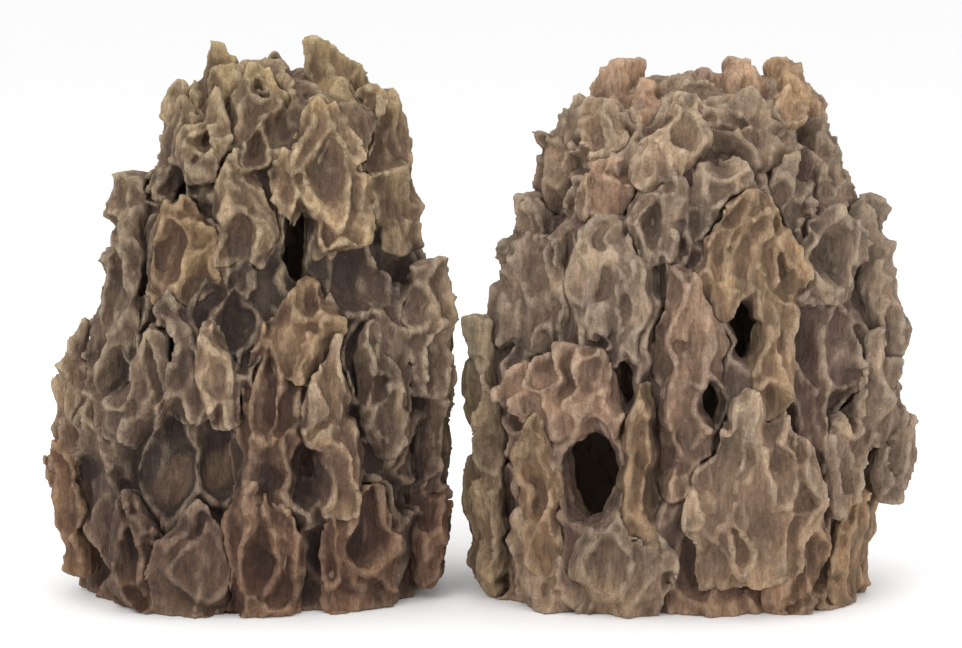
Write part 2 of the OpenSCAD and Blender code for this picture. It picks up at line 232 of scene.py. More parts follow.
class Field:
    """Seeded noise in space, the same at the same place for every casting."""

    FAR = 9.0  # farther than any cell's middle, in pitches
    MARGIN = 0.1  # how far a cell's middle stays from its sides, in pitches
    JITTER = 0.8  # how far it may stray within them

    @staticmethod
    def chance(cell: np.ndarray, seed: int) -> np.ndarray:
        """Returns a repeatable number from 0 to 1 for each whole-number cell."""
        mixed = (cell[..., 0] * 374761393 + cell[..., 1] * 668265263 + cell[..., 2] * 1274126177
                 + seed * 974634777) & 0xFFFFFFFF
        mixed = ((mixed ^ (mixed >> 13)) * 1274126177) & 0xFFFFFFFF
        return ((mixed ^ (mixed >> 16)) & 0xFFFFFF) / float(0xFFFFFF)

    @classmethod
    def smooth(cls, places: np.ndarray, size: float, seed: int, octaves: int = 1) -> np.ndarray:
        """Makes soft noise.

        Args:
            places: N by 3 places.
            size: the width of its lumps, in the same unit.
            seed: which noise.
            octaves: how many layers it has, each half as wide and half as strong as the one before.

        Returns:
            A number from about -1 to 1 for each place.
        """
        total = np.zeros(len(places))
        weight, norm = 1.0, 0.0
        for octave in range(octaves):
            grid = places / (size * 0.5 ** octave) + 17.3 * octave
            low = np.floor(grid).astype(np.int64)
            part = grid - low
            part = part * part * (3.0 - 2.0 * part)
            value = np.zeros(len(places))
            for corner in range(8):
                step = np.array([corner & 1, (corner >> 1) & 1, (corner >> 2) & 1])
                share = np.prod(np.where(step, part, 1.0 - part), axis=1)
                value += share * cls.chance(low + step, seed + octave)
            total += weight * (2.0 * value - 1.0)
            norm += weight
            weight *= 0.5
        return total / norm

    @classmethod
    def shift(cls, places: np.ndarray, size: float, seed: int, octaves: int = 1) -> np.ndarray:
        """Returns soft noise in three directions, about -1 to 1 each."""
        return np.stack([cls.smooth(places, size, seed + 50 * k, octaves) for k in range(3)], axis=1)

    @classmethod
    def cells(cls, places: np.ndarray, pitch: Place,
              seed: int) -> Tuple[np.ndarray, np.ndarray, np.ndarray, np.ndarray]:
        """Splits space into irregular cells round scattered points.

        Args:
            places: N by 3 places.
            pitch: the usual size of a cell along each axis.
            seed: which scatter.

        Returns:
            How near each place is to a border (0 there, 1 at a cell's middle), how far it is above its
            cell's middle in pitches, and two chances that are the same all over a cell.
        """
        grid = places / np.array(pitch)
        home = np.floor(grid).astype(np.int64)
        count = len(places)
        nearest = np.full(count, cls.FAR)
        second = np.full(count, cls.FAR)
        above = np.zeros(count)
        chance_one, chance_two = np.zeros(count), np.zeros(count)
        for step in np.ndindex(3, 3, 3):
            cell = home + np.array(step) - 1
            jitter = np.stack([cls.chance(cell, seed + k) for k in (1, 2, 3)], axis=1)
            away = grid - (cell + cls.MARGIN + cls.JITTER * jitter)
            distance = np.sqrt((away * away).sum(axis=1))
            closer = distance < nearest
            second = np.where(closer, nearest, np.minimum(second, distance))
            nearest = np.where(closer, distance, nearest)
            above = np.where(closer, away[:, 2], above)
            chance_one = np.where(closer, cls.chance(cell, seed + 7), chance_one)
            chance_two = np.where(closer, cls.chance(cell, seed + 8), chance_two)
        return (second - nearest) / (second + nearest), above, chance_one, chance_two


@dataclass(frozen=True)
class Wander:
    """One layer of noise that moves places: its lumps' width and its reach, both in mm."""

    size: float
    reach: float
    seed: int
    octaves: int = 1

    def moves(self, places: np.ndarray) -> np.ndarray:
        """Returns the moves of places in mm."""
        return self.reach * Field.shift(places, self.size, self.seed, self.octaves)


BODY_WARP = (Wander(30.0, 4.5, seed=5), Wander(13.0, 3.4, seed=9))
POCKET_WARP = Wander(18.0, 4.5, seed=21, octaves=2)
CELL_WARP = (Wander(30.0, 8.0, seed=33), Wander(9.0, 2.2, seed=35))


class Relief:
    """The fine relief that all castings share."""

    SHARPEN = 0.9  # how much farther a crest or a hollow is drawn from its surroundings
    SHARPEN_LIMIT = 1.6 * MM
    SHARPEN_ROUNDS = 5
    UPRIGHT = 3.2  # how much longer than wide the flutes are

    def __init__(self) -> None:
        """Makes the textures and the stretched grid that the upright ones lie on."""
        self.lumps = self.cloud("rock_lumps", 10.0 * MM)
        self.grain = self.cloud("rock_grain", 4.2 * MM)
        self.pits = bpy.data.textures.new("rock_pits", "VORONOI")
        self.pits.noise_scale = 7.5 * MM
        self.pits.distance_metric = "DISTANCE"
        deselect_all()
        bpy.ops.object.empty_add(location=(0.0, 0.0, 0.0))
        self.upright = bpy.context.object
        self.upright.name = "upright_grid"
        self.upright.scale = (1.0, 1.0, self.UPRIGHT)
        bpy.context.view_layer.update()

    @staticmethod
    def cloud(name: str, size: float) -> bpy.types.Texture:
        """Makes a cloud texture for displacing, with lumps of a size in metres."""
        texture = bpy.data.textures.new(name, "CLOUDS")
        texture.noise_scale = size
        texture.noise_depth = 2
        texture.cloud_type = "GRAYSCALE"
        return texture

    def roughen(self, obj: bpy.types.Object) -> None:
        """Gives a casting its flutes, pits and grain."""
        upright = {"texture_coords": "OBJECT", "texture_coords_object": self.upright}
        finish_with(obj, "DISPLACE", texture=self.lumps, strength=2.0 * MM, mid_level=0.5, **upright)
        finish_with(obj, "DISPLACE", texture=self.pits, strength=0.9 * MM, mid_level=0.35,
                    texture_coords="LOCAL")
        finish_with(obj, "DISPLACE", texture=self.grain, strength=1.0 * MM, mid_level=0.5, **upright)

    def sharpen(self, obj: bpy.types.Object) -> None:
        """Draws crests up and hollows down from their surroundings."""
        mesh = obj.data
        places = coordinates(mesh).astype(np.float64)
        away = places - relax(mesh, places, self.SHARPEN_ROUNDS)
        size = np.linalg.norm(away, axis=1, keepdims=True) + TINY
        places += away * np.minimum(self.SHARPEN, self.SHARPEN_LIMIT / size)
        move_to(mesh, places)

    def clear(self) -> None:
        """Removes the grid once no casting needs it."""
        bpy.data.objects.remove(self.upright)


# ---------------------------------------------------------------- paint


@dataclass(frozen=True)
class Mottle:
    """One noise of the paint: lumps per metre, layers, and the values where its mask starts and ends."""

    scale: float
    detail: float
    rough: float
    distortion: float
    low: float
    high: float


PATCHES = Mottle(34.0, 3.0, 0.60, 0.6, 0.42, 0.60)
BLOTCHES = Mottle(60.0, 5.0, 0.62, 0.7, 0.36, 0.66)
STREAKS = Mottle(330.0, 7.0, 0.68, 0.5, 0.36, 0.64)
BANDS = Mottle(105.0, 5.0, 0.62, 0.9, 0.36, 0.64)
GRIT = Mottle(900.0, 4.0, 0.70, 0.0, 0.34, 0.68)
SPECKS = Mottle(480.0, 3.0, 0.60, 0.0, 0.635, 0.70)
ACCENTS = Mottle(19.0, 4.0, 0.65, 0.8, 0.52, 0.66)
DRIFT = Mottle(14.0, 4.0, 0.55, 0.0, 0.3, 0.7)
STREAK_LENGTH = 0.22  # streaks and bands are drawn out upwards by one over this
CRACK_SCALE = 62.0  # cracks per metre
CRACK_SHARE = 0.22  # of the deep colour in a crack
CRACK_HEIGHT = -0.22
SPECK_SHARE = 0.14


class Sheet:
    """A node tree with short ways to add and join nodes."""

    def __init__(self, tree: bpy.types.NodeTree) -> None:
        """Starts from an empty tree."""
        self.tree = tree
        self.tree.nodes.clear()

    def add(self, kind: str, values: Optional[Dict[object, object]] = None,
            **settings: object) -> bpy.types.Node:
        """Adds a node.

        Args:
            kind: the node's type, without ShaderNode.
            values: socket name or number to a value or to an output that feeds it.
            settings: the node's own properties.

        Returns:
            The node.
        """
        node = self.tree.nodes.new("ShaderNode" + kind)
        for name, value in settings.items():
            setattr(node, name, value)
        for name, value in (values or {}).items():
            target = node.inputs[name]
            if isinstance(value, bpy.types.NodeSocket):
                self.tree.links.new(value, target)
            else:
                target.default_value = value
        return node

    def join(self, source: bpy.types.NodeSocket, target: bpy.types.NodeSocket) -> None:
        """Feeds one socket from another."""
        self.tree.links.new(source, target)

    def stored(self, name: str) -> bpy.types.Node:
        """Adds a node that reads what the casting's vertices store under a name."""
        return self.add("Attribute", attribute_name=name)

    def ramp(self, value: bpy.types.NodeSocket, low: float, high: float,
             out_low: float = 0.0, out_high: float = 1.0) -> bpy.types.NodeSocket:
        """Returns a value stretched from low..high to out_low..out_high, held at both ends."""
        node = self.add("MapRange", {"Value": value, "From Min": low, "From Max": high,
                                     "To Min": out_low, "To Max": out_high}, clamp=True)
        return node.outputs["Result"]

    def mottled(self, place: bpy.types.NodeSocket, mottle: Mottle,
                out_low: float = 0.0, out_high: float = 1.0) -> bpy.types.NodeSocket:
        """Returns a noise over a place, stretched from the mottle's ends to out_low..out_high."""
        noise = self.add("TexNoise", {"Vector": place, "Scale": mottle.scale, "Detail": mottle.detail,
                                      "Roughness": mottle.rough, "Distortion": mottle.distortion})
        return self.ramp(noise.outputs["Fac"], mottle.low, mottle.high, out_low, out_high)

    def math(self, kind: str, first: object, second: object, clamp: bool = False) -> bpy.types.NodeSocket:
        """Returns a sum, product or other operation on two values."""
        return self.add("Math", {0: first, 1: second}, operation=kind, use_clamp=clamp).outputs[0]

    def mix(self, share: object, first: object, second: object, kind: str = "MIX") -> bpy.types.NodeSocket:
        """Returns two colours mixed."""
        node = self.add("Mix", {0: share, 6: first, 7: second}, data_type="RGBA", blend_type=kind,
                        clamp_factor=True)
        return node.outputs[2]


class WashAndShadeGroup:
    """The shared paint effect: brown washes with painted shade in the pockets and pale dry-brushing on the
    crests.
    """

    COLOURS = ("Face", "Light", "Wash", "Deep", "Crest Paint", "Accent")
    NUMBERS = ("Pocket", "Crest", "Accent Share")
    TONES = ((1.0, 0.85), (1.04, 0.85), (1.1, 0.8))  # how a mask darkens and lightens red, green and blue

    def __init__(self) -> None:
        """Builds the shader group, once for all materials."""
        self.tree = bpy.data.node_groups.new("wash_and_dry_brush", "ShaderNodeTree")
        for name in self.COLOURS:
            self.socket(name, "Color")
        for name in self.NUMBERS:
            self.socket(name, "Float")
        for name, kind in (("Color", "Color"), ("Roughness", "Float"), ("Height", "Float")):
            self.socket(name, kind, out=True)
        self.sheet = Sheet(self.tree)
        self.given = self.tree.nodes.new("NodeGroupInput").outputs
        self.draw()

    def socket(self, name: str, kind: str, out: bool = False) -> None:
        """Adds one socket of kind Float or Color to the group."""
        self.tree.interface.new_socket(name=name, in_out="OUTPUT" if out else "INPUT",
                                       socket_type=f"NodeSocket{kind}")

    def crack(self, place: bpy.types.NodeSocket) -> bpy.types.NodeSocket:
        """Returns a mask of thin wavy cracks, 1 in a crack."""
        sheet = self.sheet
        waves = sheet.add("TexNoise", {"Vector": place, "Scale": 60.0}).outputs["Color"]
        wavy = sheet.mix(0.055, place, waves)
        cells = sheet.add("TexVoronoi", {"Vector": wavy, "Scale": CRACK_SCALE}, feature="DISTANCE_TO_EDGE")
        return sheet.ramp(cells.outputs["Distance"], 0.012, 0.05, 1.0, 0.0)

    def tone(self, mask: bpy.types.NodeSocket, depth: float) -> bpy.types.NodeSocket:
        """Returns the colour to multiply by where a mask darkens and lightens the paint."""
        channels = {k: self.sheet.ramp(mask, 0.0, 1.0, 1.0 - dark * depth, 1.0 + pale * depth)
                    for k, (dark, pale) in enumerate(self.TONES)}
        return self.sheet.add("CombineColor", channels).outputs[0]

    def draw(self) -> None:
        """Lays the nodes: faces, washes with painted shade, streaks, dry-brushing, specks and cracks, in
        that order.
        """
        sheet, given = self.sheet, self.given
        place = sheet.add("TexCoord").outputs["Object"]
        stretched = sheet.add("Mapping", {"Vector": place, "Scale": (1.0, 1.0, STREAK_LENGTH)})
        upright = stretched.outputs["Vector"]
        patches, blotches = sheet.mottled(place, PATCHES), sheet.mottled(place, BLOTCHES)
        streaks, bands = sheet.mottled(upright, STREAKS), sheet.mottled(upright, BANDS)
        grit, specks = sheet.mottled(place, GRIT), sheet.mottled(place, SPECKS)
        crack = self.crack(place)

        colour = sheet.mix(patches, given["Face"], given["Light"])
        share = sheet.math("MULTIPLY", sheet.mottled(place, ACCENTS), given["Accent Share"])
        colour = sheet.mix(share, colour, given["Accent"])
        # brown washes and painted shade darken the pockets, unevenly
        uneven_wash_and_shade = sheet.math("MULTIPLY", sheet.ramp(blotches, 0.0, 1.0, 0.62, 1.22), given["Pocket"])
        colour = sheet.mix(sheet.ramp(uneven_wash_and_shade, 0.10, 0.58), colour, given["Wash"])
        colour = sheet.mix(sheet.ramp(uneven_wash_and_shade, 0.50, 1.05), colour, given["Deep"])
        # bands and fine streaks run down the castings, and blotches cross them
        for mask, depth in ((bands, 0.26), (streaks, 0.30), (blotches, 0.24), (grit, 0.16)):
            colour = sheet.mix(1.0, colour, self.tone(mask, depth), "MULTIPLY")
        # the grain breaks up the dry-brushed crests
        broken = sheet.math("MULTIPLY", sheet.ramp(streaks, 0.0, 1.0, 0.40, 1.0),
                            sheet.ramp(grit, 0.0, 1.0, 0.6, 1.15))
        brushed = sheet.math("MULTIPLY", given["Crest"], broken, clamp=True)
        colour = sheet.mix(brushed, colour, given["Crest Paint"])
        colour = sheet.mix(sheet.math("MULTIPLY", specks, SPECK_SHARE), colour, given["Crest Paint"])
        colour = sheet.mix(sheet.math("MULTIPLY", crack, CRACK_SHARE), colour, given["Deep"])

        height = sheet.math("MULTIPLY", streaks, 0.55)
        for mask, weight in ((bands, 0.55), (grit, 0.30), (specks, 0.12), (crack, CRACK_HEIGHT)):
            height = sheet.math("ADD", height, sheet.math("MULTIPLY", mask, weight))
        result = self.tree.nodes.new("NodeGroupOutput").inputs
        sheet.join(colour, result["Color"])
        sheet.join(sheet.ramp(blotches, 0.0, 1.0, 0.66, 0.88), result["Roughness"])
        sheet.join(height, result["Height"])


@dataclass(frozen=True)
class ResinPaint:
    """A hand-painted resin finish."""

    name: str
    face: Colour  # the faces, in two shades
    light: Colour
    wash: Colour  # brown wash and painted shade in the pockets, and in their deepest parts
    deep: Colour
    crest: Colour  # dry-brushed on the crests
    accent: Colour
    accent_share: float
    foot: Colour  # tints the lowest part
    crown: Colour  # tints the highest part
    bare_and_painted_light: Colour = (0.62, 0.48, 0.36)  # unpainted resin of the hollow, kept pale as painted light that lifts the hollow's shade
    relief: float = 1.6 * MM
    tint_share: float = 0.85

    def make(self, wash: WashAndShadeGroup, height: float) -> bpy.types.Material:
        """Builds the material.

        Args:
            wash: the shared paint effect.
            height: the rock's height in metres, for the tints of foot and crown.

        Returns:
            The material.
        """
        material = bpy.data.materials.new(self.name)
        material.use_nodes = True
        sheet = Sheet(material.node_tree)
        paint = material.node_tree.nodes.new("ShaderNodeGroup")
        paint.node_tree = wash.tree
        colours = (self.face, self.light, self.wash, self.deep, self.crest, self.accent)
        for name, colour in zip(WashAndShadeGroup.COLOURS, colours):
            paint.inputs[name].default_value = (*colour, 1.0)
        paint.inputs["Accent Share"].default_value = self.accent_share
        # the pocket depth drives the brown wash and the painted shade of the pockets
        sheet.join(sheet.stored("pocket").outputs["Fac"], paint.inputs["Pocket"])
        sheet.join(sheet.stored("crest").outputs["Fac"], paint.inputs["Crest"])

        place = sheet.add("TexCoord").outputs["Object"]
        up = sheet.add("SeparateXYZ", {0: place}).outputs["Z"]
        drift = sheet.math("ADD", up, sheet.mottled(place, DRIFT, -0.05, 0.05))
        low = sheet.ramp(drift, 0.10 * height, 0.42 * height, 1.0, 0.0)
        high = sheet.ramp(drift, 0.55 * height, 0.90 * height)
        colour = sheet.mix(low, paint.outputs["Color"], (*self.foot, 1.0), "MULTIPLY")
        colour = sheet.mix(high, colour, (*self.crown, 1.0), "MULTIPLY")
        colour = sheet.mix(self.tint_share, colour, sheet.stored("cast_tint").outputs["Color"], "MULTIPLY")
        # the hollow's unpainted resin is paled towards white, painted light that lifts its shade
        paled_to_lift_shade = sheet.mix(0.5, paint.outputs["Color"], (1.0, 1.0, 1.0, 1.0))
        bare_and_painted_light = sheet.mix(1.0, paled_to_lift_shade, (*self.bare_and_painted_light, 1.0), "MULTIPLY")
        colour = sheet.mix(sheet.stored("inside").outputs["Fac"], colour, bare_and_painted_light)

        bump = sheet.add("Bump", {"Height": paint.outputs["Height"], "Strength": 0.75,
                                  "Distance": self.relief})
        shader = sheet.add("BsdfPrincipled", {
            "Base Color": colour, "Roughness": paint.outputs["Roughness"],
            "Normal": bump.outputs["Normal"], "Specular IOR Level": 0.30})
        output = sheet.add("OutputMaterial")
        sheet.join(shader.outputs["BSDF"], output.inputs["Surface"])
        return material


# the wash and deep colours paint the pockets' shade as well as their brown wash
LEFT_STONE = ResinPaint(
    "left_stone_resin", face=(0.150, 0.102, 0.070), light=(0.315, 0.226, 0.150),
    wash=(0.113, 0.070, 0.051), deep=(0.068, 0.048, 0.040), crest=(0.481, 0.372, 0.261),
    accent=(0.283, 0.196, 0.095), accent_share=0.40, foot=(0.72, 0.64, 0.64), crown=(1.18, 1.18, 1.06))
LEFT_SHELL = ResinPaint(
    "left_shell_resin", face=(0.137, 0.090, 0.063), light=(0.225, 0.158, 0.109),
    wash=(0.098, 0.062, 0.046), deep=(0.058, 0.040, 0.034), crest=(0.430, 0.329, 0.228),
    accent=(0.209, 0.129, 0.074), accent_share=0.35, foot=(0.76, 0.68, 0.67), crown=(1.18, 1.18, 1.06))
RIGHT_STONE = ResinPaint(
    "right_stone_resin", face=(0.205, 0.158, 0.120), light=(0.400, 0.292, 0.205),
    wash=(0.196, 0.134, 0.098), deep=(0.124, 0.092, 0.071), crest=(0.465, 0.365, 0.267),
    accent=(0.430, 0.290, 0.165), accent_share=0.50, foot=(0.90, 0.84, 0.80), crown=(1.02, 1.00, 0.97))
RIGHT_SHELL = ResinPaint(
    "right_shell_resin", face=(0.221, 0.159, 0.114), light=(0.308, 0.227, 0.164),
    wash=(0.157, 0.104, 0.078), deep=(0.113, 0.077, 0.065), crest=(0.433, 0.335, 0.242),
    accent=(0.331, 0.206, 0.122), accent_share=0.40, foot=(0.95, 0.82, 0.75), crown=(1.02, 1.00, 0.97))


# ---------------------------------------------------------------- the rocks


@dataclass(frozen=True)
class Pocket:
    """One scooped pocket. Shares are of the rock's half width (across) and height (up); sizes in mm."""

    across: float
    up: float
    width: float
    height: float
    depth: float
    lean: float = 0.0  # degrees


@dataclass(frozen=True)
class Scales:
    """The irregular cells that cover a rock, as widths and heights in mm, and its stones' shapes."""

    cell: Tuple[float, float]
    crown_cell: Tuple[float, float]
    crown_from: float  # share of the height where the crown's cells begin
    depth: float
    taper: float  # share of its width that a stone loses up to its top
    seed: int


@dataclass
class Rock:
    """One rock: its castings, its pockets and its paint."""

    body: str
    plane: float  # x in metres of the plane between the two rocks
    pockets: Sequence[Pocket]
    scales: Scales
    tints: Dict[str, Tint]
    tapers: Dict[str, float]  # stones that taper otherwise than the rest
    stone: ResinPaint
    shell: ResinPaint
    plan_power: float = 2.5  # how square the outline is from above: 2 is an ellipse
    shell_swell: float = 7.0  # how far a shell swells to meet its stones' faces, mm
    inner_swell: float = 10.0  # how far its inner wall stays behind that, mm
    stone_swell: float = 4.0
    top_knee: float = 6.0  # how far below its highest point a rock's tips begin to round, mm
    foot_calm: float = 24.0  # height in mm up to which castings keep more and more of their flat foot
    crumb_share: float = 0.12  # loose parts smaller than this share of the largest are crumbs
    nodes: List[str] = field(default_factory=list)
    pieces: List[bpy.types.Object] = field(default_factory=list)

    def __post_init__(self) -> None:
        """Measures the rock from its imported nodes."""
        self.nodes = list(frame["record"]["behaviour"]["bodies"][self.body])
        boxes = [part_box(node) for node in self.nodes]
        self.low = Vector([min(box[0][k] for box in boxes) for k in range(3)])
        self.high = Vector([max(box[1][k] for box in boxes) for k in range(3)])
        self.centre = (self.low + self.high) / 2.0
        self.height = self.high.z

    # -- where things are

    def share_up(self, places: np.ndarray) -> np.ndarray:
        """Returns the height of places in mm as a share of the rock's."""
        return places[:, 2] / (self.height / MM)

    def outward(self, places: np.ndarray) -> np.ndarray:
        """Returns the direction out of the rock at places in mm, as if its outline were smooth."""
        half = np.array([(self.high.x - self.low.x) / 2.0, (self.high.y - self.low.y) / 2.0]) / MM
        away = (places[:, :2] - np.array([self.centre.x / MM, 0.0])) / half
        flat = np.sign(away) * np.abs(away) ** (self.plan_power - 1.0) / half
        flat /= np.linalg.norm(flat, axis=1, keepdims=True) + TINY
        rise = 0.10 + 0.9 * smooth_step(self.share_up(places), 0.72, 1.02)
        out = np.column_stack([flat, rise])
        return out / np.linalg.norm(out, axis=1, keepdims=True)

    def keep_side(self, places: np.ndarray) -> None:
        """Holds places in mm on this rock's side of the plane between the rocks, above the floor."""
        plane, clear = self.plane / MM, 0.4
        if self.centre.x < self.plane:
            places[:, 0] = np.minimum(places[:, 0], plane - clear)
        else:
            places[:, 0] = np.maximum(places[:, 0], plane + clear)
        places[:, 2] = np.clip(places[:, 2], 0.0, self.height / MM + 1.0)

    # -- how castings are shaped

    def front_pockets(self, places: np.ndarray) -> Tuple[np.ndarray, np.ndarray]:
        """Scoops the placed pockets of the front, each with a low raised rim.

        Args:
            places: N by 3 places in mm.

        Returns:
            How deep each place is scooped, in mm, and how near it is to a pocket (1 is on its rim).
        """
        half = (self.high.x - self.low.x) / 2.0 / MM
        depth = np.zeros(len(places))
        near = np.full(len(places), Field.FAR)
        facing = smooth_step(-places[:, 1], -12.0, 8.0)
        for pocket in self.pockets:
            turn = math.radians(pocket.lean)
            across = places[:, 0] - self.centre.x / MM - pocket.across * half
            up = places[:, 2] - pocket.up * self.height / MM
            side = across * math.cos(turn) - up * math.sin(turn)
            rise = (across * math.sin(turn) + up * math.cos(turn)) / (pocket.height / 2.0)
            side = side / (pocket.width / 2.0 * np.clip(1.0 - 0.28 * rise, 0.4, 1.4))
            reach = np.sqrt(side * side + rise * rise)
            scoop = pocket.depth * np.clip(1.0 - reach * reach, 0.0, 1.0) ** 0.62
            scoop -= 1.4 * np.exp(-((reach - 1.10) / 0.12) ** 2)
            depth = np.where(np.abs(scoop) > np.abs(depth), scoop, depth)
            near = np.minimum(near, reach)
        return depth * facing, np.where(facing > 0.5, near, Field.FAR)

    def cell_scoops(self, places: np.ndarray) -> np.ndarray:
        """Scoops the cells that cover the rock all round, tall ones below and small ones at the crown.

        Args:
            places: N by 3 places in mm.

        Returns:
            How deep each place is scooped, in mm.
        """
        scales = self.scales
        crown = smooth_step(self.share_up(places), scales.crown_from - 0.06, scales.crown_from + 0.06)
        total = np.zeros(len(places))
        for share, (width, height), seed in ((1.0 - crown, scales.cell, scales.seed),
                                             (crown, scales.crown_cell, scales.seed + 40)):
            border, above, chance_one, chance_two = Field.cells(places, (width, width, height), seed)
            bowl = 1.0 - (1.0 - np.clip(border * 1.5, 0.0, 1.0)) ** 2
            sunk = 0.75 * chance_one ** 1.6 - 0.30 * above * (0.5 + chance_two)
            total += share * scales.depth * (sunk + bowl * (0.35 + 0.5 * chance_two))
        return total

    def own_shape(self, piece: bpy.types.Object, places: np.ndarray) -> Tuple[np.ndarray, np.ndarray]:
        """Shapes each stone as a scale: a hollow face, a tip that stands out and narrows.

        Args:
            piece: the casting, of one or more stones.
            places: its places in mm.

        Returns:
            How deep its faces are scooped, and how each place moves sideways, both in mm.
        """
        taper = self.tapers.get(piece.name.removesuffix("_cast"), self.scales.taper)
        depth = np.zeros(len(places))
        moved = np.zeros_like(places)
        label = islands(piece.data)
        for name in np.unique(label):
            mine = label == name
            part = places[mine]
            if len(part) < 30:
                continue
            low, high = part.min(axis=0), part.max(axis=0)
            middle = (low + high) / 2.0
            out = self.outward(middle[None, :])[0]
            side = np.array([-out[1], out[0], 0.0])
            side /= np.linalg.norm(side) + TINY
            across = (part - middle) @ side
            half_width = max(4.0, np.abs(across).max())
            half_height = max(6.0, (high[2] - low[2]) / 2.0)
            rise = (part[:, 2] - middle[2]) / half_height
            reach = (across / half_width) ** 2 + rise ** 2
            hollow = 2.5 * np.clip(1.0 - reach, 0.0, 1.0) ** 0.7 * min(1.0, half_width / 14.0)
            depth[mine] = hollow - 2.4 * rise
            narrow = taper * np.clip(rise, 0.0, 1.0) + 0.10 * np.clip(-rise, 0.0, 1.0)
            moved[mine] = -(across * narrow)[:, None] * side
        return depth, moved

    def round_tips(self, places: np.ndarray) -> None:
        """Rounds off what of places in mm comes near the rock's height or would rise past it."""
        over = np.maximum(places[:, 2] - (self.height / MM - self.top_knee), 0.0)
        room = self.top_knee + 1.0
        places[:, 2] -= over - room * (1.0 - np.exp(-over / room))

    def carve(self, piece: bpy.types.Object, shell: bool) -> None:
        """Warps a casting and cuts its rock's pockets and cells into it.

        Args:
            piece: the casting.
            shell: whether it is a shell, which swells to meet its stones' faces.
        """
        places = coordinates(piece.data).astype(np.float64) / MM
        calm = smooth_step(places[:, 2], 1.0, self.foot_calm)
        warp = BODY_WARP[0].moves(places) + BODY_WARP[1].moves(places)
        warp[:, 2] *= calm
        pockets, near = self.front_pockets(places + POCKET_WARP.moves(places))
        cells = self.cell_scoops(places + CELL_WARP[0].moves(places) + CELL_WARP[1].moves(places))
        cells *= 0.25 + 0.75 * smooth_step(near, 0.8, 1.5)
        outward = self.outward(places)
        if shell:
            inward = -(normals_of(piece.data) * outward).sum(axis=1)
            depth = pockets + cells - self.shell_swell
            depth += self.inner_swell * smooth_step(inward, 0.1, 0.6)
            moved = np.zeros_like(places)
        else:
            own, moved = self.own_shape(piece, places)
            depth = pockets + cells * 0.85 + own - self.stone_swell
        lift = 1.0 - 0.45 * smooth_step(self.share_up(places), 0.86, 0.98)
        places = places + warp + moved * calm[:, None] - outward * (depth * lift)[:, None]
        self.round_tips(places)
        self.keep_side(places)
        move_to(piece.data, places * MM)

    def cast(self, node: str, relief: Relief) -> bpy.types.Object:
        """Models the visible casting of one node.

        Args:
            node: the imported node.
            relief: the shared fine relief.

        Returns:
            The casting.
        """
        piece = bpy.data.objects.new(f"{node}_cast", frame["nodes"][node].data.copy())
        bpy.context.scene.collection.objects.link(piece)
        piece.data.materials.clear()
        pick(piece)
        bpy.ops.object.mode_set(mode="EDIT")
        bpy.ops.mesh.select_all(action="SELECT")
        bpy.ops.mesh.remove_doubles(threshold=1e-6)
        bpy.ops.object.mode_set(mode="OBJECT")
        finish_with(piece, "REMESH", mode="VOXEL", voxel_size=DETAIL.rough_voxel)
        finish_with(piece, "DISPLACE", strength=0.9 * MM, mid_level=0.0)
        self.carve(piece, node.endswith("_shell"))
        finish_with(piece, "REMESH", mode="VOXEL", voxel_size=DETAIL.fine_voxel)
        finish_with(piece, "SMOOTH", factor=0.5, iterations=1)
        relief.roughen(piece)
        relief.sharpen(piece)
        self.drop_crumbs(piece)
        triangles = sum(len(face.vertices) - 2 for face in piece.data.polygons)
        if triangles > TRIANGLE_LIMIT:
            finish_with(piece, "DECIMATE", ratio=TRIANGLE_LIMIT / triangles)
        self.level_foot(piece)
        pick(piece)
        bpy.ops.object.shade_smooth()
        return piece

    def drop_crumbs(self, piece: bpy.types.Object) -> None:
        """Deletes loose crumbs that the pockets cut off, and keeps every real stone."""
        mesh = piece.data
        _, island, sizes = np.unique(islands(mesh), return_inverse=True, return_counts=True)
        small = sizes[island] < max(60, self.crumb_share * sizes.max())
        if not small.any():
            return
        pick(piece)
        mesh.vertices.foreach_set("select", small)
        bpy.ops.object.mode_set(mode="EDIT")
        bpy.ops.mesh.select_mode(type="VERT")
        bpy.ops.object.mode_set(mode="OBJECT")
        mesh.vertices.foreach_set("select", small)
        bpy.ops.object.mode_set(mode="EDIT")
        bpy.ops.mesh.delete(type="VERT")
        bpy.ops.object.mode_set(mode="OBJECT")

    def level_foot(self, piece: bpy.types.Object) -> None:
        """Presses what the relief pushed past the floor or the plane between the rocks back to it."""
        places = coordinates(piece.data).astype(np.float64) / MM
        self.keep_side(places)
        move_to(piece.data, places * MM)

    # -- what the paint follows

    def shade_of(self, piece: bpy.types.Object) -> Colour:
        """Returns a casting's tint, with a little chance in it."""
        node = piece.name.removesuffix("_cast")
        lift = random.Random(node).uniform(*TINT_CHANCE)
        return tuple(channel * lift for channel in self.tints.get(node, Tint.PLAIN).value)

    def measure(self) -> None:
        """Stores on each casting how deep every point lies, how sharp it is, and the casting's tint."""
        chart = Chart(self)
        for piece in self.pieces:
            mesh = piece.data
            places = coordinates(mesh)
            gap = chart.depth(places)
            inward = -(normals_of(mesh) * self.outward(places / MM)).sum(axis=1)
            deep = smooth_step(gap, Chart.INSIDE_FROM, Chart.INSIDE_FROM + 12.0 * MM)
            pocket = np.clip(relax(mesh, gap / Chart.POCKET_SCALE, 3), 0.0, 1.4)
            # depth under the crests, also in the gaps between stones, sets the pockets' wash and painted
            # shade
            self.store(mesh, "pocket", pocket * (1.0 - 0.75 * deep))
            self.store(mesh, "inside", relax(mesh, deep * smooth_step(inward, 0.25, 0.65), 3))
            self.store(mesh, "crest", self.sharpness(mesh, places))
            tint = mesh.color_attributes.new("cast_tint", "FLOAT_COLOR", "POINT")
            tint.data.foreach_set("color", np.tile((*self.shade_of(piece), 1.0), len(mesh.vertices)))

